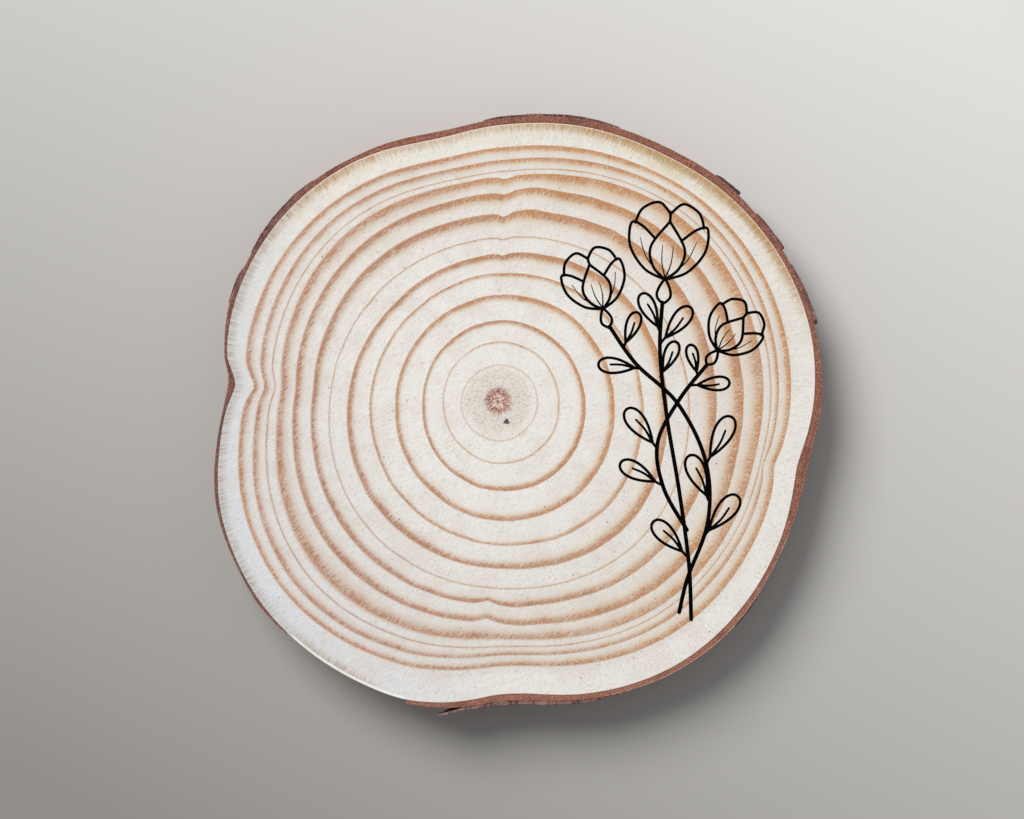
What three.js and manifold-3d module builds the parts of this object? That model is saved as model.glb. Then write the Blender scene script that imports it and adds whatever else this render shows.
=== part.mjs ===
// Laser-engraved pine log slice with its bark on: a round of wood, its pith, the bark band round it,
// loose outer bark scales, and a flower sprig burnt into the top as grooves with a charred bed.
// Millimetres. +Z up, +Y towards the top of the drawing. The origin is on the pith, on the underside.
import * as THREE from 'three';
import { mergeVertices } from 'three/addons/utils/BufferGeometryUtils.js';
import Module from 'manifold-3d';

const wasm = await Module();
wasm.setup();

// Slice
const THICKNESS = 10;
const PITH_RADIUS = 2.2;
const PITH_SIDES = 24;
const ARC_STEP = 5;

// Radius of the wood under the bark, as [degrees, mm] round the pith. 176.5 is the bark inclusion.
const WOOD_EDGE = [
  [0, 52.7], [12, 53.4], [25, 53.0], [35, 52.2], [45, 51.1], [55, 49.7], [65, 48.7], [75, 47.7],
  [85, 46.5], [92, 45.8], [100, 45.0], [107, 45.1], [115, 46.0], [125, 46.8], [140, 47.3],
  [155, 47.1], [165, 46.5], [171, 45.7], [174, 44.5], [176.5, 43.9], [179, 44.5], [182, 45.4],
  [190, 47.2], [200, 49.5], [210, 50.9], [220, 51.9], [230, 52.3], [245, 52.3], [253, 52.1],
  [262, 50.7], [270, 49.0], [276, 49.1], [285, 50.7], [295, 52.2], [305, 53.2], [315, 53.4],
  [325, 53.1], [335, 52.4], [343, 51.5], [348, 51.1], [353, 51.8],
];

// Thickness of the bark band, as [degrees, mm]. The bark has come away from BARE_FROM to BARE_TO.
const BARK_DEPTH = [
  [0, 1.4], [10, 0.9], [25, 0.9], [35, 1.05], [45, 1.35], [65, 1.25], [85, 1.05], [100, 1.1],
  [110, 1.2], [120, 0.8], [130, 0.9], [150, 0.7], [160, 0.85], [170, 0.5], [174, 0.9], [176.5, 1.4],
  [179, 1.0], [182, 0.55], [195, 0.65], [215, 0.4], [221, 0.55], [228, 0.25], [255, 0.7], [270, 1.15],
  [285, 0.95], [303, 0.9], [315, 1.1], [328, 0.85], [335, 1.0], [348, 1.75], [353, 1.4],
];
const BARE_FROM = 228;
const BARE_TO = 253;

// Outer bark scales: where each starts and ends, its thickness, its lowest point, and how far its start
// stands off. A blunt one is thickest where it starts, as where the scale before it has broken away.
const SCALES = [
  { name: 'bark_scale_top', from: 66, to: 93, depth: 0.6, low: 0.9, lift: 0 },
  { name: 'bark_scale_top_right', from: 40.5, to: 46, depth: 0.7, low: 1.6, lift: 0, blunt: true },
  { name: 'bark_scale_upper_right', from: 28, to: 36, depth: 0.6, low: 1.2, lift: 0, blunt: true },
  { name: 'bark_scale_right', from: 13.5, to: 25, depth: 0.75, low: 0.7, lift: 0, blunt: true },
  { name: 'bark_scale_lower_right', from: 316.5, to: 323, depth: 0.35, low: 2.4, lift: 0 },
  { name: 'bark_scale_bottom', from: 259, to: 294, depth: 0.8, low: 0.8, lift: 1.3 },
  { name: 'bark_scale_left_upper', from: 130, to: 149, depth: 0.5, low: 1.1, lift: 0 },
  { name: 'bark_scale_left', from: 152.5, to: 160, depth: 0.4, low: 1.9, lift: 0 },
];
const LIFT_SPAN = 5.5;
const SCALE_EDGE = 0.18;
const SCALE_FOOT_SWING = 0.9;

// Engraving
const GROOVE_DEPTH = 0.6;
const CHAR_THICKNESS = 0.45;
const STEM_LINE = 0.66;
const LINE = 0.46;
const FINE_LINE = 0.26;
const WALL_GAP = 0.03;

// Centre lines of the three stems
const MAIN_STEM = [[32.2, -36.4], [31.8, -27], [30.2, -15], [28.2, -3], [27.0, 8], [27.4, 16.4]];
const LEFT_STEM = [
  [30.2, -35.2], [31.6, -29.5], [35.0, -20], [34.6, -10], [30.0, -0.5], [23.0, 6.2], [18.6, 12.4],
];
const RIGHT_STEM = [[31.5, -21.5], [27.6, -14.5], [26.6, -7], [30.2, 0.2], [34.8, 6.0]];

// Blooms: the foot of the calyx, the lean from upright in degrees, the height of the petals
const BLOOMS = [
  { name: 'engraved_bloom_top', foot: [27.5, 16.4], lean: -5, height: 12.8 },
  { name: 'engraved_bloom_left', foot: [18.4, 12.4], lean: 17, height: 10.2 },
  { name: 'engraved_bloom_right', foot: [34.9, 6.2], lean: -38, height: 9.2 },
];

// Leaves: the point on the stem, the direction in degrees, the length
const LEAVES = [
  [27.1, 11.4, 116, 7.2], [27.1, 9.6, 50, 7.8], [27.1, 4.0, 66, 6.4], [20.9, 8.8, 68, 6.4],
  [23.9, 5.4, 174, 7.2], [33.3, 4.1, 104, 5.4], [32.2, 2.6, 4, 6.4], [34.7, -10.6, 62, 9.0],
  [35.3, -17.0, 113, 8.6], [34.3, -22.6, 50, 8.8], [26.6, -8.0, 128, 8.4], [27.3, -14.0, 152, 7.8],
  [31.6, -26.0, 134, 8.2],
];
const LEAF_SLIMNESS = 0.175;

// Smooth radius (or thickness) at any angle through knots listed round the full turn
function around(knots, degrees) {
  const count = knots.length;
  const angle = ((degrees % 360) + 360) % 360;
  let i = count - 1;
  while (i > 0 && knots[i][0] > angle) i -= 1;
  const knot = (k) => {
    const turn = Math.floor(k / count);
    const [a, r] = knots[((k % count) + count) % count];
    return [a + 360 * turn, r];
  };
  const [a0, r0] = knot(i - 1);
  const [a1, r1] = knot(i);
  const [a2, r2] = knot(i + 1);
  const [a3, r3] = knot(i + 2);
  const span = a2 - a1;
  const slope1 = ((r2 - r0) / (a2 - a0)) * span;
  const slope2 = ((r3 - r1) / (a3 - a1)) * span;
  const t = (angle - a1) / span;
  const t2 = t * t;
  const t3 = t2 * t;
  const start = (2 * t3 - 3 * t2 + 1) * r1 + (t3 - 2 * t2 + t) * slope1;
  return start + (3 * t2 - 2 * t3) * r2 + (t3 - t2) * slope2;
}

function onCircle(radius, degrees) {
  const a = THREE.MathUtils.degToRad(degrees);
  return new THREE.Vector2(radius * Math.cos(a), radius * Math.sin(a));
}

const woodRadius = (a) => around(WOOD_EDGE, a);
const barkRadius = (a) => woodRadius(a) + around(BARK_DEPTH, a);

// Every angle where the outline has a corner, shared by the wood, the bark and the scales
function outlineAngles() {
  const angles = new Set([171, 173, 174.5, 176.5, 178.5, 182, 348, BARE_FROM, BARE_TO]);
  for (let a = 0; a < 360; a += ARC_STEP) angles.add(a);
  for (const scale of SCALES) {
    angles.add(scale.from);
    angles.add(scale.to);
    if (scale.lift > 0) angles.add(scale.from + LIFT_SPAN);
    if (scale.lift > 0) angles.add(scale.from + LIFT_SPAN / 2);
  }
  return [...angles].sort((p, q) => p - q);
}
const ANGLES = outlineAngles();

// The outline angles from one angle forward to another, past 360 if need be
function anglesBetween(from, to) {
  const end = to > from ? to : to + 360;
  const both = [...ANGLES, ...ANGLES.map((a) => a + 360)];
  return both.filter((a) => a >= from && a <= end);
}

function extrude(shape, low, high) {
  const geometry = new THREE.ExtrudeGeometry(shape, { depth: high - low, bevelEnabled: false });
  geometry.translate(0, 0, low);
  return geometry;
}

function toSolid(geometry) {
  const bare = geometry.clone();
  bare.deleteAttribute('normal');
  bare.deleteAttribute('uv');
  const merged = mergeVertices(bare, 1e-4);
  return new wasm.Manifold(new wasm.Mesh({
    numProp: 3,
    vertProperties: new Float32Array(merged.attributes.position.array),
    triVerts: new Uint32Array(merged.index.array),
  }));
}

function toGeometry(solid) {
  const mesh = solid.getMesh();
  const geometry = new THREE.BufferGeometry();
  geometry.setAttribute('position', new THREE.BufferAttribute(new Float32Array(mesh.vertProperties), 3));
  geometry.setIndex(new THREE.BufferAttribute(new Uint32Array(mesh.triVerts), 1));
  return geometry;
}

// A drawn line of varying width round a centre line, as a flat outline grown by a margin
function strokeShape(centre, widthAt, margin) {
  const left = [];
  const right = [];
  const last = centre.length - 1;
  centre.forEach((p, i) => {
    const before = centre[Math.max(i - 1, 0)];
    const after = centre[Math.min(i + 1, last)];
    const along = after.clone().sub(before).normalize();
    const half = widthAt(i / last) / 2 + margin;
    const reach = i === 0 ? -margin : margin * Number(i === last);
    const x = p.x + along.x * reach;
    const y = p.y + along.y * reach;
    left.push(new THREE.Vector2(x - along.y * half, y + along.x * half));
    right.push(new THREE.Vector2(x + along.y * half, y - along.x * half));
  });
  return new THREE.Shape([...left.reverse(), ...right]);
}

// One body for a set of lines, each line being [points, number of pieces, width along it]
function inked(lines, low, high, margin) {
  const solids = lines.map(([points, pieces, widthAt]) => {
    const curve = new THREE.SplineCurve(points.map(([x, y]) => new THREE.Vector2(x, y)));
    return toSolid(extrude(strokeShape(curve.getPoints(pieces), widthAt, margin), low, high));
  });
  return solids.reduce((sum, solid) => sum.add(solid));
}

const stemLine = () => STEM_LINE;
const evenLine = () => LINE;
const taperingLine = (t) => FINE_LINE * (1 - 0.6 * t);

function stemLines() {
  return [
    [MAIN_STEM, 13, stemLine],
    [LEFT_STEM, 17, stemLine],
    [RIGHT_STEM, 11, stemLine],
  ];
}

// Turns points of a local drawing (x to the right, y along its axis) into place on the slice
function placed(points, foot, turn, size) {
  const c = Math.cos(THREE.MathUtils.degToRad(turn));
  const s = Math.sin(THREE.MathUtils.degToRad(turn));
  return points.map(([x, y]) => [foot[0] + size * (x * c - y * s), foot[1] + size * (x * s + y * c)]);
}

// A cup of petals on a small calyx. Unit height; the calyx hangs below the petals' foot.
function bloomLines({ foot, lean, height }) {
  const calyx = 0.3;
  const raise = (points) => points.map(([x, y]) => [x, y + calyx]);
  const half = [
    [[[0, -0.02], [0.085, 0.07], [0.075, 0.18], [0, calyx + 0.02]], 4, evenLine],
    [raise([[0, 0], [0.17, 0.16], [0.22, 0.42], [0, 0.76]]), 5, evenLine],
    [raise([[0, 0], [0.28, 0.12], [0.49, 0.4], [0.5, 0.7], [0.36, 0.68], [0.17, 0.52]]), 8, evenLine],
    [raise([[0.45, 0.71], [0.37, 0.9], [0.16, 1.0], [0, 0.86]]), 5, evenLine],
    [raise([[0, 0.02], [0.06, 0.22], [0.07, 0.44]]), 2, taperingLine],
    [raise([[0.03, 0.03], [0.26, 0.26], [0.37, 0.52]]), 2, taperingLine],
  ];
  const otherHalf = half.map(([points, pieces, width]) => [points.map(([x, y]) => [-x, y]), pieces, width]);
  const seam = [raise([[0, 0.74], [0, 0.88]]), 1, evenLine];
  return [...half, ...otherHalf, seam].map(([points, pieces, width]) => (
    [placed(points, foot, lean, height), pieces, width]
  ));
}

// A teardrop leaf on a short stalk, rounded at the far end, with a midrib
function leafLines([x, y, direction, length]) {
  const stalk = 0.16;
  const halfWidth = LEAF_SLIMNESS * length;
  const edge = [];
  for (const s of [0, 0.2, 0.45, 0.7, 0.88, 0.97, 1]) {
    edge.push([2.6 * halfWidth * s * Math.sqrt(1 - s), length * (stalk + (1 - stalk) * s)]);
  }
  edge[edge.length - 1][0] = -0.1;
  const otherEdge = edge.map(([u, v]) => [-u, v]);
  const rib = [[0, 0], [0, length * stalk], [0.04 * length, length * 0.45], [0.02 * length, length * 0.72]];
  const lines = [[edge, 6, evenLine], [otherEdge, 6, evenLine], [rib, 2, evenLine]];
  return lines.map(([points, pieces, width]) => [placed(points, [x, y], direction - 90, 1), pieces, width]);
}

// What is left of a drawn element where the stems pass over it, without loose slivers
function clearOf(stems, solid) {
  const pieces = solid.subtract(stems).decompose();
  return pieces.reduce((best, piece) => (piece.volume() > best.volume() ? piece : best));
}

// The drawn elements other than the stems, as [name, lines]
function bloomsAndLeaves() {
  const blooms = BLOOMS.map((bloom) => [bloom.name, bloomLines(bloom)]);
  const number = (i) => String(i + 1).padStart(2, '0');
  const leaves = LEAVES.map((leaf, i) => [`engraved_leaf_${number(i)}`, leafLines(leaf)]);
  return [...blooms, ...leaves];
}

// The charred beds of the grooves, as [name, geometry]
function charredBeds() {
  const bed = THICKNESS - GROOVE_DEPTH;
  const char = (lines, margin) => inked(lines, bed, bed + CHAR_THICKNESS, margin);
  const stems = char(stemLines(), 0);
  const reach = char(stemLines(), WALL_GAP);
  const rest = bloomsAndLeaves().map(([name, lines]) => [name, toGeometry(clearOf(reach, char(lines, 0)))]);
  return [['engraved_stems', toGeometry(stems)], ...rest];
}

function pithPoints() {
  const points = [];
  for (let i = 0; i < PITH_SIDES; i += 1) points.push(onCircle(PITH_RADIUS, (360 / PITH_SIDES) * i));
  return points;
}

function woodGeometry() {
  const shape = new THREE.Shape(ANGLES.map((a) => onCircle(woodRadius(a), a)));
  shape.holes.push(new THREE.Path(pithPoints().reverse()));
  const lines = [...stemLines(), ...bloomsAndLeaves().flatMap(([, drawn]) => drawn)];
  const grooves = inked(lines, THICKNESS - GROOVE_DEPTH, THICKNESS + 1, WALL_GAP);
  return toGeometry(toSolid(extrude(shape, 0, THICKNESS)).subtract(grooves));
}

function pithGeometry() {
  return extrude(new THREE.Shape(pithPoints()), 0, THICKNESS);
}

function barkGeometry() {
  const angles = anglesBetween(BARE_TO, BARE_FROM);
  const inner = angles.map((a) => onCircle(woodRadius(a), a));
  const outer = angles.map((a) => onCircle(barkRadius(a), a));
  return extrude(new THREE.Shape([...outer, ...inner.reverse()]), 0, THICKNESS);
}

// A bark scale: a plate that follows the bark from one angle to another, thin at its edges
function scaleGeometry({ from, to, depth, low, lift, blunt = false }) {
  const columns = anglesBetween(from, to).map((a) => {
    const t = THREE.MathUtils.clamp((a - from) / (to - from), 0, 1);
    const swell = Math.sqrt(blunt ? 1 - t : Math.abs(Math.sin(Math.PI * t)));
    const stand = lift * Math.pow(Math.max(0, 1 - (a - from) / LIFT_SPAN), 1.4);
    const inner = barkRadius(a) + stand;
    const outer = inner + SCALE_EDGE + (depth - SCALE_EDGE) * swell;
    const foot = low + SCALE_FOOT_SWING * Math.abs(Math.cos(0.31 * a + low));
    return [
      new THREE.Vector3(...onCircle(inner, a), foot * 0.7),
      new THREE.Vector3(...onCircle(outer, a), foot),
      new THREE.Vector3(...onCircle(outer, a), THICKNESS - 0.1),
      new THREE.Vector3(...onCircle(inner, a), THICKNESS),
    ];
  });
  const points = columns.flat();
  const index = [];
  const quad = (p, q, r, s) => index.push(p, q, r, p, r, s);
  for (let i = 0; i < columns.length - 1; i += 1) {
    for (let k = 0; k < 4; k += 1) {
      const next = (k + 1) % 4;
      quad(4 * i + k, 4 * i + 4 + k, 4 * i + 4 + next, 4 * i + next);
    }
  }
  const last = 4 * (columns.length - 1);
  quad(0, 1, 2, 3);
  quad(last + 3, last + 2, last + 1, last);
  const geometry = new THREE.BufferGeometry().setFromPoints(points);
  geometry.setIndex(index);
  return geometry;
}

const MATERIALS = {
  pine: new THREE.MeshStandardMaterial({ color: 0xe9ddcd, roughness: 0.72, metalness: 0 }),
  pith: new THREE.MeshStandardMaterial({ color: 0xb08b7a, roughness: 0.85, metalness: 0 }),
  bark: new THREE.MeshStandardMaterial({ color: 0xa5644f, roughness: 0.9, metalness: 0 }),
  scale: new THREE.MeshStandardMaterial({ color: 0x6e4640, roughness: 0.9, metalness: 0 }),
  char: new THREE.MeshStandardMaterial({ color: 0x0b0a09, roughness: 0.85, metalness: 0 }),
};

const group = new THREE.Group();
group.name = 'engraved_wood_slice';

function addPart(name, geometry, material) {
  const flat = geometry.index ? geometry.toNonIndexed() : geometry;
  flat.computeVertexNormals();
  const mesh = new THREE.Mesh(flat, material.clone());
  mesh.name = name;
  group.add(mesh);
}

addPart('wood_slice', woodGeometry(), MATERIALS.pine);
addPart('pith_core', pithGeometry(), MATERIALS.pith);
addPart('bark_band', barkGeometry(), MATERIALS.bark);
for (const scale of SCALES) addPart(scale.name, scaleGeometry(scale), MATERIALS.scale);
for (const [name, geometry] of charredBeds()) addPart(name, geometry, MATERIALS.char);

export default group;
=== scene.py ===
"""Laser-engraved pine slice with its bark on, seen from straight above on a plain pale floor.

Everything is in metres, in the CAD's frame: origin on the pith at the underside, +Z through the
engraved face, +Y towards the top of the drawing. Given sizes are in millimetres, times MM.
"""

import math
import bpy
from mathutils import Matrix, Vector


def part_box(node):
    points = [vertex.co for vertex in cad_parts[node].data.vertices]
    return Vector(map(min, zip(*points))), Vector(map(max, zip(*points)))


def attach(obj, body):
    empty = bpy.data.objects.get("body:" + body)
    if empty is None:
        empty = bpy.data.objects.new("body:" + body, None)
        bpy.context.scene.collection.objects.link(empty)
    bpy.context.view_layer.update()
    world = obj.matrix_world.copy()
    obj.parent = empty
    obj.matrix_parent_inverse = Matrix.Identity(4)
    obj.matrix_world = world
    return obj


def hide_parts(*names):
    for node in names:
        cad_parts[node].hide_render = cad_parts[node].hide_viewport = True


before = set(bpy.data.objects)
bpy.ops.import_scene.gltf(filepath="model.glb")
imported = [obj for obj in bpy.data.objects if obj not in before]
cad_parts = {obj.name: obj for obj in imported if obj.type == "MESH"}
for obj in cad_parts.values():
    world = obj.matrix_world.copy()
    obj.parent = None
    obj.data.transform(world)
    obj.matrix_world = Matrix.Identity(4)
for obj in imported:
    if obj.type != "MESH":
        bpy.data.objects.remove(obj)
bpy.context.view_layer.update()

from types import SimpleNamespace

import bpy
import numpy as np

MM = 0.001
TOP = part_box("wood_slice")[1].z
SEED = 7
SCENE = bpy.context.scene

# ---------------------------------------------------------------- outlines, from the CAD


def flat_points(node):
    """The corners of a CAD node's lowest face, as (angle in degrees, radius)."""
    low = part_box(node)[0].z + 1e-6
    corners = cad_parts[node].data.vertices
    points = {(round(v.co.x, 6), round(v.co.y, 6)) for v in corners if v.co.z < low}
    return sorted((math.degrees(math.atan2(y, x)) % 360, math.hypot(x, y)) for x, y in points)


class Around:
    """A smooth value at any angle, through values known at some angles (degrees) round the turn."""

    def __init__(self, angles, values):
        order = np.argsort(angles)
        a = np.asarray(angles, float)[order]
        v = np.asarray(values, float)[order]
        self.a = np.concatenate([a[-2:] - 360, a, a[:3] + 360])
        self.v = np.concatenate([v[-2:], v, v[:3]])

    def __call__(self, degrees):
        x = np.mod(np.asarray(degrees, float), 360)
        i = np.clip(np.searchsorted(self.a, x, side="right") - 1, 1, len(self.a) - 3)
        a, v = self.a, self.v
        span = a[i + 1] - a[i]
        t = (x - a[i]) / span
        m1 = (v[i + 1] - v[i - 1]) / (a[i + 1] - a[i - 1]) * span
        m2 = (v[i + 2] - v[i]) / (a[i + 2] - a[i]) * span
        t2, t3 = t * t, t * t * t
        start = (2 * t3 - 3 * t2 + 1) * v[i] + (t3 - 2 * t2 + t) * m1
        return start + (3 * t2 - 2 * t3) * v[i + 1] + (t3 - t2) * m2


def split_outlines():
    """Wood radius and bark thickness round the turn, and the angles where bare wood runs."""
    past_pith, thinnest = 20 * MM, 0.15 * MM
    wood = [(a, r) for a, r in flat_points("wood_slice") if r > past_pith]
    wood_at = Around(*zip(*wood))
    known = {round(a, 2): r for a, r in wood}
    outer = [(a, r) for a, r in flat_points("bark_band") if r - wood_at(a) > thinnest]
    depth = [(a, r - known[round(a, 2)]) for a, r in outer if round(a, 2) in known]
    angles = np.array([a for a, _ in depth])
    gaps = np.diff(np.append(angles, angles[0] + 360))
    widest = int(np.argmax(gaps))
    bare_from = angles[widest]
    bare_to = angles[(widest + 1) % len(angles)]
    return wood_at, Around(angles, [d for _, d in depth]), bare_from, bare_to


WOOD_RADIUS, BARK_DEPTH, BARE_FROM, BARE_TO = split_outlines()
PITH_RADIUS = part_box("pith_core")[1].x


def bark_radius(degrees):
    return WOOD_RADIUS(degrees) + BARK_DEPTH(degrees)


# ---------------------------------------------------------------- smooth noise for shapes


def lattice(ix, iy, iz, seed):
    """A repeatable value from 0 to 1 at each whole-number point, made by mixing bits."""
    n = ix * 374761393 + iy * 668265263 + iz * 2147483647 + seed * 974634777
    n = (n ^ (n >> 13)) * 1274126177
    return ((n ^ (n >> 16)) & 0xFFFFFF) / float(0xFFFFFF)


def noise(x, y, z=0.0, seed=SEED):
    """Smooth noise from 0 to 1 with features about one unit across."""
    x, y, z = np.broadcast_arrays(*(np.asarray(c, float) for c in (x, y, z)))
    ix, iy, iz = (np.floor(c).astype(np.int64) for c in (x, y, z))
    fx, fy, fz = x - ix, y - iy, z - iz
    fx, fy, fz = (f * f * (3 - 2 * f) for f in (fx, fy, fz))
    total = 0
    for dx in (0, 1):
        for dy in (0, 1):
            for dz in (0, 1):
                weight = (fx if dx else 1 - fx) * (fy if dy else 1 - fy) * (fz if dz else 1 - fz)
                total = total + weight * lattice(ix + dx, iy + dy, iz + dz, seed)
    return total


def layered(x, y, z=0.0, seed=SEED, layers=3):
    """Noise with finer and weaker noise on it, each layer twice as fine as the last."""
    total, weight, share = 0, 0, 1.0
    for k in range(layers):
        total = total + share * noise(x * 2**k, y * 2**k, z * 2**k, seed + 11 * k)
        weight += share
        share *= 0.5
    return total / weight


# ---------------------------------------------------------------- growth rings

# Outer edge of each growth ring in mm, at every 45 degrees round the pith from +X
RING_EDGES = (
    (6.7, 6.5, 6.1, 6.0, 6.3, 6.5, 6.8, 6.8),
    (10.3, 10.2, 10.0, 9.5, 9.3, 9.8, 10.5, 10.8),
    (14.6, 14.0, 13.5, 12.9, 12.7, 13.9, 15.1, 15.5),
    (19.5, 18.8, 17.8, 17.1, 17.3, 18.7, 20.1, 20.6),
    (24.2, 22.9, 21.4, 20.7, 21.5, 22.9, 24.1, 25.5),
    (28.3, 27.3, 24.7, 23.9, 25.3, 27.3, 28.1, 30.0),
    (32.0, 30.2, 27.4, 27.1, 28.2, 30.5, 31.4, 33.2),
    (36.5, 35.2, 31.4, 31.4, 31.3, 33.9, 34.2, 36.8),
    (41.0, 39.6, 34.9, 34.9, 34.3, 37.7, 37.2, 41.2),
    (44.3, 43.3, 37.5, 38.0, 36.8, 41.8, 40.0, 44.0),
    (45.6, 44.2, 38.3, 39.0, 38.2, 43.3, 41.1, 45.0),
    (46.8, 46.0, 40.2, 41.2, 40.2, 46.0, 42.6, 46.6),
    (48.8, 47.7, 42.3, 43.4, 42.5, 48.0, 44.4, 48.9),
)
# Each ring's late wood: share of the ring that it fills, strength, redness
RING_LOOK = (
    (0.08, 0.56, 0.2), (0.12, 0.72, 0.3), (0.26, 1.00, 0.5), (0.28, 0.94, 0.3), (0.20, 0.86, 0.3),
    (0.42, 1.00, 0.6), (0.13, 0.75, 0.4), (0.50, 1.00, 0.7), (0.54, 1.00, 0.6), (0.78, 0.90, 0.5),
    (0.36, 0.78, 0.7), (0.70, 0.88, 0.6), (0.68, 0.95, 0.4), (0.01, 0.0, 0.5),
)
# How many stops the ramp that holds these has room for
RING_STOPS = 16
# Places where the rings bend inwards or outwards: angle and half width in degrees, outward shift
# in mm, first and last ring
DENTS = (
    (176.5, 2.6, -1.1, 13, 13), (176.5, 2.6, -0.5, 11, 12), (346.5, 2.6, -0.6, 12, 13),
    (88.0, 1.5, -0.5, 6, 7), (88.0, 1.6, -0.9, 8, 8), (88.0, 1.8, -0.6, 9, 10),
    (80.0, 5.0, 0.5, 8, 9), (267.0, 2.2, -0.8, 8, 9), (275.0, 5.0, 0.3, 8, 9),
)
COMPASS = np.arange(0, 360, 45)


def ring_radii(degrees):
    """Radius in metres of the pith's edge, every ring's edge and the bark, at these angles."""
    edge = WOOD_RADIUS(degrees)
    local = edge - Around(COMPASS, WOOD_RADIUS(COMPASS))(degrees)
    mean_edge = np.mean(WOOD_RADIUS(COMPASS))
    rows = [np.full(len(edge), PITH_RADIUS)]
    for number, ring in enumerate(RING_EDGES, 1):
        share = np.mean(ring) * MM / mean_edge
        row = Around(COMPASS, np.array(ring) * MM)(degrees) + local * share**7
        for angle, half_width, shift, first, last in DENTS:
            if first <= number <= last:
                row += shift * MM * np.exp(-np.abs((degrees - angle) / half_width) ** 1.5)
        rows.append(row)
    rows.append(edge)
    return np.array(rows)


RING_COLUMNS = 1440
RING_GRID = ring_radii(np.linspace(0, 360, RING_COLUMNS + 1))


def ring_number(x, y):
    """How many ring edges lie inside each point, with the part of a ring as a fraction."""
    column = np.mod(np.degrees(np.arctan2(y, x)), 360) / 360 * RING_COLUMNS
    low = np.floor(column).astype(int)
    high = np.minimum(low + 1, RING_COLUMNS)
    part = column - low
    edges = RING_GRID[:, low] * (1 - part) + RING_GRID[:, high] * part
    radius = np.hypot(x, y)
    inner = np.clip((radius[None, :] >= edges).sum(0) - 1, 0, len(edges) - 2)
    pick = np.arange(len(radius))
    a, b = edges[inner, pick], edges[inner + 1, pick]
    return inner + np.clip((radius - a) / (b - a), 0, 1)


# Fibre stain beside the bark: angle in degrees, how strong it is there
STAIN = Around(*zip(
    (0, 0.1), (12, 0.35), (30, 0.9), (50, 1.0), (70, 0.8), (90, 0.6), (110, 0.6), (130, 0.8),
    (160, 0.95), (185, 0.95), (210, 0.9), (226, 0.7), (234, 0.8), (243, 0.6), (252, 0.25),
    (275, 0.1), (300, 0.2), (330, 0.1),
))


def give(mesh, name, values):
    """Writes one number on each vertex, for a material to read."""
    layer = mesh.attributes.new(name, "FLOAT", "POINT")
    layer.data.foreach_set("value", np.asarray(values, np.float32))


def points_of(mesh):
    flat = np.empty(len(mesh.vertices) * 3)
    mesh.vertices.foreach_get("co", flat)
    return flat.reshape(-1, 3)


def mark_wood(mesh):
    """Writes on each vertex what the wood's material reads."""
    p = points_of(mesh)
    degrees = np.degrees(np.arctan2(p[:, 1], p[:, 0]))
    give(mesh, "ring", ring_number(p[:, 0], p[:, 1]))
    give(mesh, "edge_mm", (WOOD_RADIUS(degrees) - np.hypot(p[:, 0], p[:, 1])) / MM)
    give(mesh, "stain", STAIN(degrees))
    turn, fade = np.mod(degrees, 360), 2
    within = np.minimum(turn - BARE_FROM, BARE_TO - turn)
    give(mesh, "bare", np.clip(within / fade + 0.5, 0, 1))


# ---------------------------------------------------------------- meshes


def at_angle(a, r, z):
    """The point at this angle in radians round the pith, this far out and this high."""
    return r * math.cos(a), r * math.sin(a), z


def new_piece(name, points, faces, materials):
    """A mesh object in the scene, from points in metres and the corners of each face."""
    mesh = bpy.data.meshes.new(name)
    mesh.from_pydata([tuple(p) for p in points], [], faces)
    mesh.update()
    piece = bpy.data.objects.new(name, mesh)
    SCENE.collection.objects.link(piece)
    for material in materials:
        mesh.materials.append(material)
    return piece


def sheet_faces(rows, columns, wrap_rows, wrap_columns):
    """Quads of a grid of points numbered row by row."""
    faces = []
    for r in range(rows if wrap_rows else rows - 1):
        below = ((r + 1) % rows) * columns
        for c in range(columns if wrap_columns else columns - 1):
            d = (c + 1) % columns
            faces.append((r * columns + c, below + c, below + d, r * columns + d))
    return faces


def smooth_by_angle(piece, degrees=40):
    """Shades a piece smooth, apart from edges sharper than this."""
    piece.data.shade_smooth()
    piece.data.set_sharp_from_angle(angle=math.radians(degrees))


def applied(piece):
    """Replaces a piece's mesh by what its modifiers make of it."""
    graph = bpy.context.evaluated_depsgraph_get()
    mesh = bpy.data.meshes.new_from_object(piece.evaluated_get(graph))
    old = piece.data
    piece.modifiers.clear()
    piece.data = mesh
    bpy.data.meshes.remove(old)
    mesh.name = piece.name


def boolean(piece, other, operation):
    """Joins another piece to this one or cuts it out of it."""
    step = piece.modifiers.new("step", "BOOLEAN")
    step.operation = operation
    step.solver = "MANIFOLD"
    step.object = other
    applied(piece)


def discard(piece):
    mesh = piece.data
    bpy.data.objects.remove(piece)
    bpy.data.meshes.remove(mesh)


# ---------------------------------------------------------------- node helpers

# The Mix node's colour sockets, among those for its other data types
MIX_A, MIX_B, MIX_RESULT = 6, 7, 2


def rgb(red, green, blue):
    """A colour given as 0 to 255 screen values, as Blender's linear values."""
    def linear(c):
        c /= 255
        return c / 12.92 if c <= 0.04045 else ((c + 0.055) / 1.055) ** 2.4
    return linear(red), linear(green), linear(blue), 1.0


class Value:
    """An output socket, with arithmetic that makes Math nodes."""

    def __init__(self, graph, socket):
        self.graph, self.socket = graph, socket

    def __add__(self, other):
        return self.graph.math("ADD", self, other)

    def __sub__(self, other):
        return self.graph.math("SUBTRACT", self, other)

    def __mul__(self, other):
        return self.graph.math("MULTIPLY", self, other)

    def __truediv__(self, other):
        return self.graph.math("DIVIDE", self, other)

    __radd__, __rmul__ = __add__, __mul__


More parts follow.
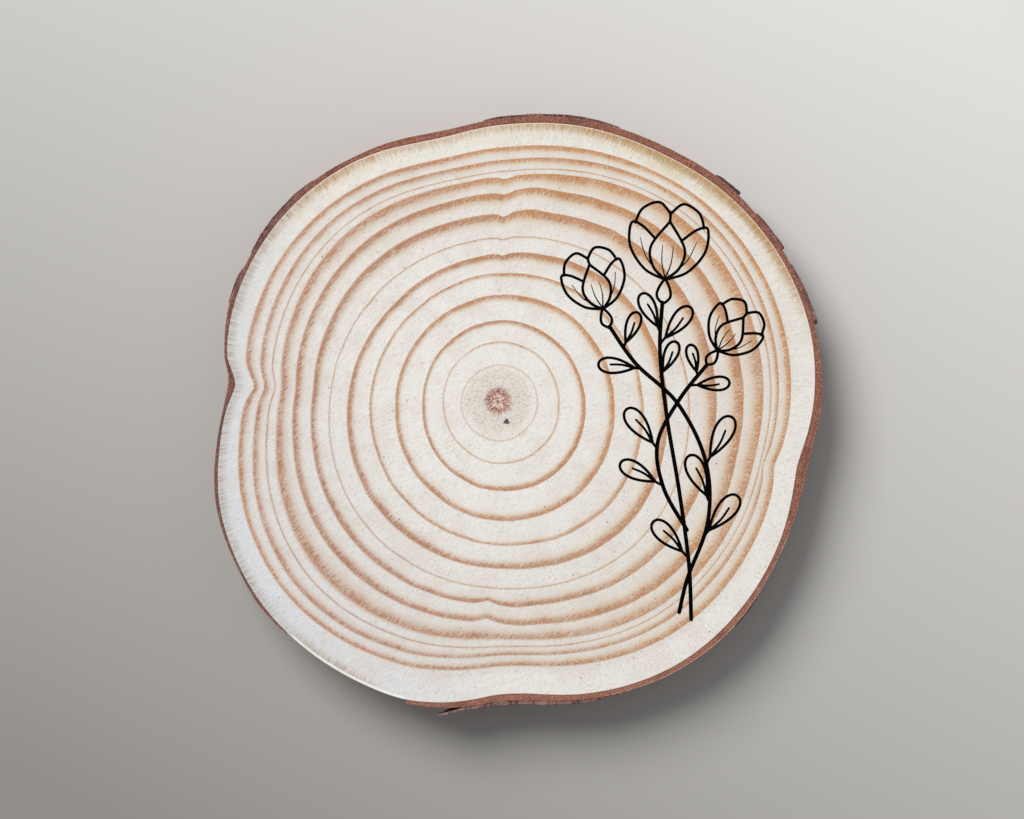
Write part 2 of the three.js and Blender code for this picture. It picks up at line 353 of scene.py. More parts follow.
class Graph:
    """A material, with short forms for its nodes. Positions are in mm, in the CAD's frame."""

    def __init__(self, name):
        self.material = bpy.data.materials.new(name)
        self.material.use_nodes = True
        self.tree = self.material.node_tree
        self.shader = self.tree.nodes["Principled BSDF"]
        place = Value(self, self.node("ShaderNodeTexCoord").outputs["Object"])
        self.mm = self.vector("SCALE", place, scale=1 / MM)
        split = self.node("ShaderNodeSeparateXYZ", self.mm)
        x, y, self.z = (Value(self, socket) for socket in split.outputs)
        self.flat = self.combine(x, y)

    def node(self, kind, *values, **settings):
        """A new node with its first inputs set to these values."""
        made = self.tree.nodes.new(kind)
        for key, value in settings.items():
            setattr(made, key, value)
        for socket, value in zip(made.inputs, values):
            self.put(socket, value)
        return made

    def put(self, socket, value):
        if isinstance(value, Value):
            self.tree.links.new(value.socket, socket)
        else:
            socket.default_value = value

    def made_by(self, kind, output, inputs, **settings):
        """One output of a new node, with inputs set by name or number."""
        made = self.node(kind, **settings)
        for key, value in inputs.items():
            self.put(made.inputs[key], value)
        return Value(self, made.outputs[output])

    def math(self, operation, *values, clamp=False):
        made = self.node("ShaderNodeMath", *values, operation=operation, use_clamp=clamp)
        return Value(self, made.outputs[0])

    def vector(self, operation, *values, scale=None):
        made = self.node("ShaderNodeVectorMath", *values, operation=operation)
        if scale is not None:
            made.inputs["Scale"].default_value = scale
        return Value(self, made.outputs["Value" if operation in ("LENGTH", "DOT_PRODUCT") else 0])

    def combine(self, *values):
        return Value(self, self.node("ShaderNodeCombineXYZ", *values).outputs[0])

    def outward(self, scale):
        """The direction away from the pith, this long."""
        return self.vector("SCALE", self.vector("NORMALIZE", self.flat), scale=scale)

    def radius(self):
        """Distance from the pith."""
        return self.vector("LENGTH", self.flat)

    def attribute(self, name):
        return self.made_by("ShaderNodeAttribute", "Fac", {}, attribute_name=name)

    def noise(self, where, scale, detail, rough):
        inputs = {"Vector": where, "Scale": scale, "Detail": detail, "Roughness": rough}
        return self.made_by("ShaderNodeTexNoise", "Fac", inputs)

    def cells(self, where, scale):
        """Distance to the nearest of many scattered points, about scale of them to a mm."""
        return self.made_by("ShaderNodeTexVoronoi", "Distance", {"Vector": where, "Scale": scale})

    def between(self, value, low, high, kind="SMOOTHSTEP"):
        """0 up to low and 1 from high on. Where high is the smaller, it falls from 1 to 0."""
        inputs = {"Value": value, "From Min": low, "From Max": high}
        return self.made_by("ShaderNodeMapRange", "Result", inputs, interpolation_type=kind)

    def toward(self, direction, low, high, kind="SMOOTHSTEP"):
        """How far a point lies to one side across the face: 0 up to low, 1 from high on."""
        return self.between(self.vector("DOT_PRODUCT", self.mm, (*direction, 0)), low, high, kind)

    def mix(self, share, a, b):
        inputs = {0: share, MIX_A: a, MIX_B: b}
        return self.made_by("ShaderNodeMix", MIX_RESULT, inputs, data_type="RGBA")

    def ramp(self, value, stops, kind="LINEAR"):
        made = self.node("ShaderNodeValToRGB", value)
        made.color_ramp.interpolation = kind
        points = made.color_ramp.elements
        while len(points) < len(stops):
            points.new(0.5)
        for point, (position, colour) in zip(points, stops):
            point.position = position
            point.color = colour
        return Value(self, made.outputs[0])

    def bump(self, height, strength, distance):
        inputs = {"Height": height, "Strength": strength, "Distance": distance}
        return self.made_by("ShaderNodeBump", 0, inputs)

    def finish(self, colour, roughness, normal, specular):
        inputs = {"Base Color": colour, "Roughness": roughness, "Normal": normal}
        for key, value in inputs.items():
            self.put(self.shader.inputs[key], value)
        self.shader.inputs["Specular IOR Level"].default_value = specular
        return self.material


# ---------------------------------------------------------------- materials

# Radius in mm at which fibres that fan out from the pith have the width they are given
FAN_RADIUS = 46
# Where the one dark speck beside the pith is, in mm
SPECK = (1.5, -3.4, 0)


def radial_streaks(g, width, length):
    """Noise drawn out along the radius: fibres that fan out from the pith."""
    along = g.combine(0.0, 0.0, g.radius() * (1 / length))
    return g.noise(g.vector("ADD", g.outward(FAN_RADIUS / width), along), 1.0, 3.0, 0.6)


def slanted(g, degrees, width, length):
    """Noise drawn out along one direction across the face: saw marks."""
    c, s = math.cos(math.radians(degrees)), math.sin(math.radians(degrees))
    along = g.vector("DOT_PRODUCT", g.mm, (c, s, 0))
    across = g.vector("DOT_PRODUCT", g.mm, (-s, c, 0))
    return g.noise(g.combine(across * (1 / width), along * (1 / length), 0.0), 1.0, 2.0, 0.6)


def star(g):
    """Fine strokes that run straight out from the pith."""
    return radial_streaks(g, 5.0, 1.1)


def face_fields(g):
    """What the layers of the sawn face share: distances, marks, and how far to one side it is."""
    f = SimpleNamespace()
    f.edge = g.attribute("edge_mm")
    f.rays = radial_streaks(g, 0.26, 1.5)
    f.long_rays = radial_streaks(g, 0.3, 6.0)
    f.drift = g.noise(g.mm, 0.06, 2.0, 0.5)
    f.patch = g.noise(g.mm, 0.22, 2.0, 0.5)
    f.grain = g.noise(g.mm, 3.6, 3.0, 0.8)
    f.leftward = g.toward((-0.95, -0.3), -30.0, 30.0)
    f.warm = g.toward((0.4, 0.9), 0.0, 42.0)
    f.west = g.toward((-1, -0.1), 22.0, 42.0)
    f.hatch = g.mix(0.45 + f.leftward * 0.5, f.rays, slanted(g, 42, 0.2, 1.5))
    f.threads = f.hatch * 0.5 + f.grain * 0.5
    f.radius = g.radius()
    f.heart_ring = f.radius + (f.patch - 0.5) * 2.4 + (f.rays - 0.5) * 2.4
    return f


def late_wood(g, f):
    """How dense the late wood is, how far through it the point lies (1 at the ring's edge), and
    the strength and redness of its ring."""
    # The ring number, ruffled by the fibres, then split into which ring and how far through it
    ring = g.attribute("ring") + ((f.hatch - 0.5) * 0.07 + (f.patch - 0.5) * 0.10)
    count = g.math("FLOOR", ring)
    stops = [(k / RING_STOPS, (*look, 1)) for k, look in enumerate(RING_LOOK)]
    looks = g.ramp((count + 0.3) * (1 / RING_STOPS), stops, "CONSTANT")
    split = g.node("ShaderNodeSeparateColor", looks)
    share, strength, redness = (Value(g, socket) for socket in split.outputs)
    share = share * (0.55 + f.drift * 0.9)
    begin = g.math("SUBTRACT", 1.0, share)
    rising = (ring - count + (f.hatch - 0.5) * 0.07 - begin) / share
    late = g.between(rising, -0.12, 0.6) * 0.72 + g.between(rising, 0.3, 1.0) * 0.28
    # On the left the ring's outer edge is soft too
    late = late * g.between(rising, 1.03, 0.93 + f.leftward * -0.24)
    cut = 0.48 + g.between(f.threads, 0.40, 0.59) * 0.54
    southeast = g.toward((0.7, -0.7), 8.0, 36.0)
    strength = strength * (1.0 + southeast * -0.14)
    return late * strength * (cut * (0.74 + f.patch * 0.6)), rising, strength, redness


def early_wood(g, f):
    """Darker at the heart, near white outwards, bluish towards the lower left."""
    cool = g.toward((-0.9, -0.42), 12.0, 50.0)
    early = g.mix(g.between(f.heart_ring, 4.9, 5.7), rgb(241, 235, 227), rgb(249, 246, 241))
    early = g.mix(g.between(f.radius, 12, 47), early, rgb(239, 234, 228))
    early = g.mix(cool * 0.7, early, rgb(231, 231, 233))
    band = g.mix(f.warm, rgb(250, 247, 241), rgb(249, 247, 239))
    band = g.mix(f.west * 0.8, band, rgb(231, 234, 232))
    band = g.mix(cool * 0.95, band, rgb(228, 233, 240))
    early = g.mix(g.between(f.edge, 4.6, 3.2) * 0.8, early, band)
    early = g.mix(g.between(f.patch, 0.42, 0.68) * 0.24, early, rgb(222, 208, 192))
    early = g.mix(g.between(f.threads, 0.55, 0.40) * 0.4, early, rgb(198, 180, 162))
    long_saw = slanted(g, 38, 0.5, 14.0)
    early = g.mix(g.between(long_saw, 0.60, 0.70) * 0.22, early, rgb(246, 244, 240))
    glint = g.between(g.cells(g.mm, 2.4), 0.14, 0.06)
    return g.mix(glint * 0.45, early, rgb(250, 249, 246))


def late_wood_colour(g, f, under, late, rising, strength, redness):
    """Straw-coloured where it starts, orange brown at the ring's edge, with a halo before it."""
    redness = redness + (f.drift - 0.5) * 1.4 + (f.leftward - 0.5) * 0.65
    brown = g.mix(g.math("ADD", redness, 0.0, clamp=True), rgb(204, 140, 84), rgb(181, 124, 92))
    straw = g.mix(f.leftward, rgb(226, 198, 162), rgb(216, 192, 172))
    halo = g.mix(f.leftward, rgb(232, 206, 168), rgb(224, 206, 188))
    in_halo = g.between(rising, -1.0, 0.5) * g.between(rising, 1.0, 0.9)
    under = g.mix(in_halo * strength * (0.03 + f.patch * 0.36), under, halo)
    tone = g.mix(g.between(late, 0.15, 0.8), straw, brown)
    cover = g.math("MINIMUM", g.math("POWER", late, 0.78) * 1.3, 0.94)
    colour = g.mix(cover, under, tone)
    dense = g.between(late, 0.7, 1.0) * g.between(f.grain, 0.5, 0.36)
    colour = g.mix(dense, colour, rgb(160, 98, 62))
    dash = g.between(slanted(g, 36, 0.17, 1.9), 0.62, 0.69) * g.between(late, 0.1, 0.5)
    return g.mix(dash * 0.5, colour, rgb(238, 226, 210))


def bark_stain(g, f, under):
    """Strokes of stain beside the bark: wide olive ones and narrow ochre ones, greyer on the left,
    and elsewhere with a thin gap to the bark."""
    here = g.attribute("stain")
    lean = (f.long_rays - 0.5) * 5.5 + (radial_streaks(g, 0.14, 1.2) - 0.5) * 1.2
    lean = g.mix(f.west * 0.85, lean, 0.5 + (f.rays - 0.5) * 1.0)
    reach = f.edge + lean + (f.patch - 0.5) * 5.0
    wide = g.between(reach, 3.3, 0.3) * g.between(here, 0.3, 1.0) * (0.75 + f.west * -0.6)
    frayed = f.edge + (f.rays - 0.5) * (2.4 + f.west * -1.7)
    narrow = g.between(frayed, 2.2, 0.4) * g.between(here, 0.15, 1.0)
    strokes = g.between(f.long_rays, 0.42, 0.6) * 0.5
    narrow = narrow * (0.85 + f.west * -0.5 + strokes)
    past_gap = g.between(f.edge + (f.rays - 0.5) * 0.3, 0.0, 0.3)
    stain = g.math("MAXIMUM", wide, narrow) * g.math("MAXIMUM", past_gap, f.west)
    stain = stain * (0.4 + g.between(f.threads, 0.36, 0.6) * 0.7)
    ochre = g.mix(f.west, rgb(184, 132, 44), rgb(168, 156, 142))
    olive = g.mix(f.west, rgb(220, 200, 144), rgb(178, 168, 154))
    tint = g.mix(g.between(narrow, 0.05, 0.45), olive, ochre)
    return g.mix(g.math("MINIMUM", stain, 0.85), under, tint)


def pale_rim_and_edge_highlight(g, f, under):
    """A thin pale line along the wood's edge, wider and whiter where the bark is off, where it is
    partly a painted highlight on the bare edge.
    """
    bare = g.attribute("bare")
    rim = g.mix(f.warm, rgb(244, 232, 218), rgb(236, 216, 176))
    rim = g.mix(f.west * 0.8, rim, rgb(206, 196, 186))
    # Where the bark is off the line is wider and near white: partly the cambium's pale edge, partly a
    # painted highlight along the bare edge
    rim = g.mix(bare, rim, rgb(255, 253, 248))
    in_widths = (f.edge + (f.grain - 0.5) * 0.3) / (0.22 + bare * 0.34)
    amount = 0.28 + f.west * -0.2 + bare * 0.65
    return g.mix(g.between(in_widths, 1.0, 0.6) * amount, under, rim)


def heart_and_specks(g, f, under):
    """Short dark rays round the pith, a peppered heart, resin canals, and one dark speck."""
    heart = g.between(f.radius, 3.0, 1.9) * g.between(star(g), 0.48, 0.58)
    colour = g.mix(heart * 0.8, under, rgb(162, 112, 98))
    pepper = g.noise(g.vector("ADD", g.mm, (5, 3, 0)), 2.3, 3.0, 0.8)
    peppered = g.between(f.heart_ring, 6.4, 4.8) * g.between(pepper, 0.51, 0.60)
    colour = g.mix(peppered * 0.6, colour, rgb(192, 170, 148))
    canal = g.between(g.cells(g.mm, 0.42) + f.grain * 0.05, 0.10, 0.065)
    canal = canal * g.between(f.patch, 0.47, 0.52)
    colour = g.mix(canal * 0.8, colour, rgb(142, 98, 74))
    dot = g.between(g.cells(g.mm, 1.3), 0.17, 0.08) * g.between(f.grain, 0.44, 0.54)
    colour = g.mix(dot * 0.75, colour, rgb(146, 112, 90))
    away = g.vector("LENGTH", g.vector("SUBTRACT", g.flat, SPECK))
    away = away + (g.noise(g.mm, 1.8, 1.0, 0.5) - 0.5) * 0.9
    return g.mix(g.between(away, 0.58, 0.34) * 0.92, colour, rgb(58, 52, 56))


def pine_face():
    """Sawn end grain: growth rings, saw marks, rays, resin specks and the stain beside the bark."""
    g = Graph("pine_face")
    f = face_fields(g)
    late, rising, strength, redness = late_wood(g, f)
    colour = late_wood_colour(g, f, early_wood(g, f), late, rising, strength, redness)
    colour = heart_and_specks(g, f, pale_rim_and_edge_highlight(g, f, bark_stain(g, f, colour)))
    height = late * 0.7 + (f.hatch * 0.8 + f.grain * 0.6)
    return g.finish(colour, 0.62 + f.grain * 0.2, g.bump(height, 0.4, 0.12 * MM), 0.25)


def pine_side():
    """Bare wood where the bark is off: pale fibres running from face to face."""
    g = Graph("pine_side")

    def upright(fineness, stretch, rough):
        along = g.combine(0.0, 0.0, g.z * stretch)
        return g.noise(g.vector("ADD", g.outward(fineness), along), 1.0, 3.0, rough)

    fibres, streaks = upright(180.0, 0.18, 0.6), upright(34.0, 0.07, 0.65)
    colour = g.ramp(fibres, [
        (0.3, rgb(216, 192, 164)), (0.5, rgb(236, 221, 200)), (0.72, rgb(246, 238, 225)),
    ])
    colour = g.mix(g.between(streaks, 0.5, 0.66) * 0.4, colour, rgb(200, 156, 124))
    return g.finish(colour, 0.6, g.bump(fibres, 0.5, 0.15 * MM), 0.3)


def pith():
    """Soft pith: pale grains and dark red strokes that fan out to its ragged edge."""
    g = Graph("pith")
    grains = g.cells(g.mm, 3.8)
    crumbs = g.noise(g.mm, 4.0, 2.0, 0.8)
    radius = g.radius()
    strokes = g.mix(g.between(radius, 0.8, 1.7), crumbs, star(g) * 0.6 + crumbs * 0.4)
    strokes = strokes + g.between(radius, 0.8, 1.5) * 0.05
    colour = g.ramp(strokes, [
        (0.42, rgb(240, 228, 214)), (0.52, rgb(204, 160, 144)), (0.60, rgb(138, 82, 70)),
    ])
    colour = g.mix(g.between(grains, 0.26, 0.12) * 0.5, colour, rgb(236, 224, 216))
    to_edge = g.between(radius + (crumbs - 0.5) * 0.9, 1.5, 2.2)
    colour = g.mix(to_edge * 0.4, colour, rgb(224, 210, 198))
    return g.finish(colour, 0.85, g.bump(grains, 0.5, 0.1 * MM), 0.15)


def bark(name, dark, mid, light, crumb, purple):
    """Granular bark. On each vertex, "depth" runs from 0 at the wood to 1 at the outer surface,
    "crack" and "plate" follow the flakes and "crumb" says where pale crumbs cling."""
    g = Graph(name)
    depth = g.attribute("depth")
    grains = g.noise(g.mm, 5.4, 4.0, 0.7)
    pits = g.cells(g.mm, 3.2)
    drift = g.noise(g.mm, 0.22, 2.0, 0.5)
    tone = grains * 0.7 + pits * 0.3 + (g.attribute("plate") - 0.5) * 0.16
    colour = g.ramp(tone, [(0.30, dark), (0.46, mid), (0.66, light)])
    colour = g.mix(g.toward((0.3, -0.95), 30.0, 48.0) * 0.35, colour, light)
    # Purplish and speckled at the left, and in patches inside the outer surface
    left = g.toward((-1, 0.05), 26.0, 42.0) * (0.35 + drift * 0.9)
    weathered = g.between(depth, 0.6, 0.72) * g.between(depth, 0.9, 0.8) * drift
    speckled = g.mix(g.between(tone, 0.46, 0.6) * 0.55, purple, light)
    speckled = g.mix(g.between(tone, 0.42, 0.3) * 0.6, speckled, dark)
    colour = g.mix(g.math("MAXIMUM", left, weathered), colour, speckled)
    colour = g.mix(g.between(drift, 0.52, 0.7) * 0.4, colour, dark)
    in_crack = g.mix(0.5, dark, rgb(30, 18, 18))
    colour = g.mix(g.between(g.attribute("crack"), 0.2, 0.9) * 0.65, colour, in_crack)
    outer = g.between(depth, 0.74, 0.95) * g.between(grains, 0.4, 0.56)
    colour = g.mix(outer * g.attribute("crumb"), colour, crumb)
    inner_line = g.between(depth, 0.22, 0.05) * g.between(grains, 0.62, 0.42)
    colour = g.mix(inner_line * 0.6, colour, dark)
    relief = g.bump(grains * 0.8 + pits * 0.5, 0.9, 0.3 * MM)
    return g.finish(colour, 0.78 + grains * 0.18, relief, 0.2)


def charred():
    """Burnt groove floor: black, with a faint crackle."""
    g = Graph("charred")
    crackle = g.noise(g.mm, 5.0, 3.0, 0.7)
    colour = g.ramp(crackle, [(0.35, rgb(2, 2, 2)), (0.7, rgb(12, 10, 9))])
    return g.finish(colour, 0.8 + crackle * 0.15, g.bump(crackle, 0.4, 0.05 * MM), 0.03)


def floor_painted_falloff():
    """A plain pale floor with painted light falloff: light at the upper right, darker towards the
    lower left.
    """
    g = Graph("floor_painted_falloff")
    # Painted light falloff: the floor's colour darkens from the upper right to the lower left
    painted_falloff = g.toward((0.5, 0.87), -95.0, 95.0, "LINEAR")
    colour = g.mix(painted_falloff, rgb(152, 149, 144), rgb(236, 234, 231))
    return g.finish(colour, 0.85, g.bump(g.noise(g.mm, 1.5, 2.0, 0.5), 0.05, 0.1 * MM), 0.1)


PINE_FACE = pine_face()
PINE_SIDE = pine_side()
PITH = pith()
CHARRED = charred()
INNER_BARK = bark(
    "inner_bark", dark=rgb(108, 62, 52), mid=rgb(156, 98, 80), light=rgb(194, 138, 116),
    crumb=rgb(238, 186, 158), purple=rgb(114, 82, 82),
)
OUTER_BARK = bark(
    "outer_bark", dark=rgb(80, 54, 54), mid=rgb(132, 92, 88), light=rgb(180, 138, 130),
    crumb=rgb(216, 194, 184), purple=rgb(110, 86, 88),
)

# ---------------------------------------------------------------- engraving

GROOVE_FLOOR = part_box("engraved_stems")[0].z
CHAR_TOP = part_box("engraved_stems")[1].z
# Widths of the drawn lines in mm, and how far a groove's walls stand off its charred bed
STEM_LINE, LINE, FINE_LINE = 0.66, 0.46, 0.26
CLEARANCE = 0.01

# The stems' courses, in mm
STEMS = (
    ((32.2, -36.4), (31.8, -27), (30.2, -15), (28.2, -3), (27.0, 8), (27.4, 16.4)),
    ((30.2, -35.2), (31.6, -29.5), (35.0, -20), (34.6, -10), (30.0, -0.5), (23.0, 6.2), (18.6, 12.4)),
    ((31.5, -21.5), (27.6, -14.5), (26.6, -7), (30.2, 0.2), (34.8, 6.0)),
)
# Foot of the calyx, lean from upright in degrees, height of the petals
BLOOMS = {
    "engraved_bloom_top": ((27.5, 16.4), -5, 12.8),
    "engraved_bloom_left": ((18.4, 12.4), 17, 10.2),
    "engraved_bloom_right": ((34.9, 6.2), -38, 9.2),
}
# Point on the stem, direction in degrees, length
LEAVES = (
    (27.1, 11.4, 116, 7.2), (27.1, 9.6, 50, 7.8), (27.1, 4.0, 66, 6.4), (20.9, 8.8, 68, 6.4),
    (23.9, 5.4, 174, 7.2), (33.3, 4.1, 104, 5.4), (32.2, 2.6, 4, 6.4), (34.7, -10.6, 62, 9.0),
    (35.3, -17.0, 113, 8.6), (34.3, -22.6, 50, 8.8), (26.6, -8.0, 128, 8.4),
    (27.3, -14.0, 152, 7.8), (31.6, -26.0, 134, 8.2),
)
# Shares of a leaf's length: how wide it is to each side, and how long its stalk is
LEAF_SLIMNESS = 0.175
LEAF_STALK = 0.16
# The calyx's height as a share of the petals'
CALYX = 0.3


def spline(points, step=0.3):
    """Points about a step apart on the smooth curve through these."""
    p = np.array(points, float)
    ends = np.vstack([p[:1], p, p[-1:]])
    curve = []
    for k in range(len(p) - 1):
        a, b, c, d = ends[k:k + 4]
        pieces = max(2, int(np.linalg.norm(c - b) / step))
        t = (np.arange(pieces) / pieces)[:, None]
        v0, v1 = (c - a) / 2, (d - b) / 2
        cubic, square = 2 * b - 2 * c + v0 + v1, 3 * c - 3 * b - 2 * v0 - v1
        curve.append(cubic * t**3 + square * t**2 + v0 * t + b)
    return np.vstack(curve + [p[-1:]])


def stroke(points, width, taper, grow, low, high):
    """A drawn line as a solid from low to high, with round ends. Its width falls by the share
    taper along it, and it grows by this many mm on each side."""
    centre = spline(points)
    along = np.gradient(centre, axis=0)
    along /= np.linalg.norm(along, axis=1)[:, None]
    side = np.stack([-along[:, 1], along[:, 0]], 1)
    half = (width * (1 - taper * np.linspace(0, 1, len(centre))) / 2 + grow)[:, None]
    turn = np.radians(np.arange(162, 0, -18))

    def cap(k, reach):
        return [centre[k] + reach * (math.cos(a) * side[k] + math.sin(a) * along[k]) for a in turn]

    there, back = centre - side * half, (centre + side * half)[::-1]
    outline = np.vstack([there, cap(-1, half[-1]), back, cap(0, -half[0])])
    count = len(outline)
    flat = outline * MM
    solid = [(x, y, low) for x, y in flat] + [(x, y, high) for x, y in flat]
    faces = [tuple(range(count))[::-1], tuple(range(count, 2 * count))]
    faces += [(k, (k + 1) % count, count + (k + 1) % count, count + k) for k in range(count)]
    return new_piece("stroke", solid, faces, [])


def placed(lines, foot, turn, size):
    """Lines made this much larger, turned by this many degrees and set down at foot."""
    c, s = math.cos(math.radians(turn)), math.sin(math.radians(turn))

    def moved(x, y):
        return foot[0] + size * (x * c - y * s), foot[1] + size * (x * s + y * c)

    return [([moved(*p) for p in points], width, taper) for points, width, taper in lines]


def bloom_lines(foot, lean, height):
    """A cup of petals on a small calyx, drawn at unit height and mirrored."""
    def raised(points):
        return [(x, y + CALYX) for x, y in points]

    outer_petal = [(0, 0), (0.28, 0.12), (0.49, 0.4), (0.5, 0.7), (0.36, 0.68), (0.17, 0.52)]
    half = [
        ([(0, -0.02), (0.085, 0.07), (0.075, 0.18), (0, CALYX + 0.02)], LINE, 0.0),
        (raised([(0, 0), (0.17, 0.16), (0.22, 0.42), (0, 0.76)]), LINE, 0.0),
        (raised(outer_petal), LINE, 0.0),
        (raised([(0.45, 0.71), (0.37, 0.9), (0.16, 1.0), (0, 0.86)]), LINE, 0.0),
        (raised([(0, 0.02), (0.06, 0.22), (0.07, 0.44)]), FINE_LINE, 0.6),
        (raised([(0.03, 0.03), (0.26, 0.26), (0.37, 0.52)]), FINE_LINE, 0.6),
    ]
    other = [([(-x, y) for x, y in points], width, taper) for points, width, taper in half]
    seam = (raised([(0, 0.74), (0, 0.88)]), LINE, 0.0)
    return placed(half + other + [seam], foot, lean, height)


def leaf_lines(foot_x, foot_y, direction, length):
    """A teardrop on a short stalk, rounded at the far end, with a midrib."""
    edge = []
    for s in (0, 0.1, 0.2, 0.35, 0.5, 0.65, 0.78, 0.88, 0.95, 0.988, 1):
        across = 2.6 * LEAF_SLIMNESS * length * s * math.sqrt(1 - s)
        edge.append((across, length * (LEAF_STALK + (1 - LEAF_STALK) * s)))
    # Both edges run a little past each other at the far end
    edge[-1] = (-0.1, edge[-1][1])
    other = [(-u, v) for u, v in edge]
    shape = (0, 0), (0, LEAF_STALK), (0.04, 0.45), (0.02, 0.72)
    rib = [(x * length, y * length) for x, y in shape]
    lines = [(edge, LINE, 0.0), (other, LINE, 0.0), (rib, LINE, 0.25)]
    return placed(lines, (foot_x, foot_y), direction - 90, 1)


def drawn_solid(name, lines, grow, low, high):
    """All the lines of one drawn element, joined."""
    whole, *others = (stroke(*line, grow, low, high) for line in lines)
    whole.name = name
    for part in others:
        boolean(whole, part, "UNION")
        discard(part)
    return whole


def make_engraving():
    """The charred bed of each drawn element, clear of the stems. Returns all the drawn lines."""
    elements = {"engraved_stems": [(stem, STEM_LINE, 0.0) for stem in STEMS]}
    for name, bloom in BLOOMS.items():
        elements[name] = bloom_lines(*bloom)
    for number, leaf in enumerate(LEAVES, 1):
        elements[f"engraved_leaf_{number:02d}"] = leaf_lines(*leaf)
    below = GROOVE_FLOOR - 0.2 * MM
    reach = drawn_solid("reach", elements["engraved_stems"], CLEARANCE, below, TOP)
    for name, lines in elements.items():
        bed = drawn_solid(f"{name}_bed", lines, 0.0, GROOVE_FLOOR, CHAR_TOP)
        if name != "engraved_stems":
            boolean(bed, reach, "DIFFERENCE")
        bed.data.materials.clear()
        bed.data.materials.append(CHARRED)
        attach(bed, "root")
        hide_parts(name)
    discard(reach)
    return [line for lines in elements.values() for line in lines]


# ---------------------------------------------------------------- wood and pith

RING_PARTS = 3
FACE_STEP = 1.5
CHAMFER = 0.08 * MM
# Places on an outline of the slice that aren't a ring: its outside, and the chamfer's inner edge
OUTSIDE, AT_CHAMFER = -1, -2
FACE_SLOT, SIDE_SLOT, CHAR_SLOT = range(3)


def slice_points(degrees):
    """The slice's surface as one closed outline per angle, and how many points each outline has."""
    edges = ring_radii(degrees)
    rings = np.arange(len(edges))
    parts = np.linspace(0, rings[-1], rings[-1] * RING_PARTS + 1)
    side = np.linspace(TOP - CHAMFER, CHAMFER, 9)
    outline = [(k, TOP) for k in range(len(parts) - 1)] + [(AT_CHAMFER, TOP)]
    outline += [(OUTSIDE, z) for z in side]
    outline += [(AT_CHAMFER, 0.0)] + [(k, 0.0) for k in range(len(parts) - 2, -1, -1)]
    points = []
    for a, column in zip(np.radians(degrees), edges.T):
        row = np.interp(parts, rings, column)
        for k, z in outline:
            r = row[OUTSIDE] - CHAMFER if k == AT_CHAMFER else row[k]
            points.append(at_angle(a, r, z))
    return points, len(outline)


def make_wood(lines):
    """The slice, open at the pith, with every drawn line cut into its upper face as a groove."""
    degrees = np.arange(0, 360, FACE_STEP)
    points, count = slice_points(degrees)
    faces = sheet_faces(len(degrees), count, True, True)
    materials = [PINE_FACE, PINE_SIDE, CHARRED]
    wood = new_piece("pine_slice", points, [f[::-1] for f in faces], materials)
    for line in lines:
        cutter = stroke(*line, CLEARANCE, GROOVE_FLOOR, TOP + 0.5 * MM)
        boolean(wood, cutter, "DIFFERENCE")
        discard(cutter)
    mesh = wood.data
    mark_wood(mesh)
    least_margin, steep = 1.2 * MM, 0.3
    for face in mesh.polygons:
        x, y, z = face.center
        r = math.hypot(x, y)
        clear = r < WOOD_RADIUS(math.degrees(math.atan2(y, x))) - least_margin
        in_groove = clear and r > 2 * PITH_RADIUS and 0.1 * MM < z < TOP - 0.01 * MM
        outer = SIDE_SLOT if abs(face.normal.z) < steep else FACE_SLOT
        face.material_index = CHAR_SLOT if in_groove else outer
    smooth_by_angle(wood, 35)
    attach(wood, "root")
    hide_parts("wood_slice")


def make_pith():
    """A soft plug that fills the slice's middle, sunk and grainy on its upper face."""
    shares = np.linspace(0, 1, 12)[1:]
    turns = np.radians(np.arange(0, 360, 7.5))
    sink, grain = 0.12 * MM, 0.05 * MM
    # Rings of points from the upper middle out to the edge, then back to the lower middle
    rings = [(share, True) for share in shares] + [(share, False) for share in shares[::-1]]
    points = []
    for share, top in rings:
        for a in turns:
            x, y, _ = at_angle(a, share * PITH_RADIUS, 0.0)
            rough = grain * float(noise(x / MM * 2, y / MM * 2))
            depth = sink * (1 - share**2) + rough * (1 - share**4)
            points.append((x, y, TOP - depth if top else 0.0))
    count, total = len(turns), len(points)
    faces = sheet_faces(len(rings), count, False, True)
    for k in range(count):
        n = (k + 1) % count
        faces += [(total, k, n), (total + 1, total - count + n, total - count + k)]
    points += [(0.0, 0.0, TOP - sink), (0.0, 0.0, 0.0)]
    core = new_piece("pith", points, faces, [PITH])
    smooth_by_angle(core)
    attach(core, "root")
    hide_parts("pith_core")


# ---------------------------------------------------------------- bark

# Radius in mm that turns an angle into a length along the bark
AROUND = 50
# How far the fine bark stays inside the plain outline that it stands for
INSIDE = 0.02 * MM
# How far outer scales are sunk into the band
SUNK = 0.35 * MM
# Where pale crumbs cling to the bark's outer edge: from and to, in degrees
CRUMBS = ((288, 337), (156, 181))
FEW_CRUMBS = 0.15
# What the band's torn ends may be swung back by in mm, and over how many degrees
TEAR, TEAR_SPAN = 8, 8
# The bark material's "depth" on the band's flaky side, on a scale's outside and on its back
SIDE_DEPTH, SCALE_DEPTH, BACK_DEPTH = 0.72, 0.6, 0.2
# How much darker some scales are than the rest
DARK_SCALES = {
    "bark_scale_top_right": 1.0, "bark_scale_lower_right": 0.7, "bark_scale_left_upper": 0.3,
}


def clamped(value, low=0.0, high=1.0):
    return np.clip(value, low, high)


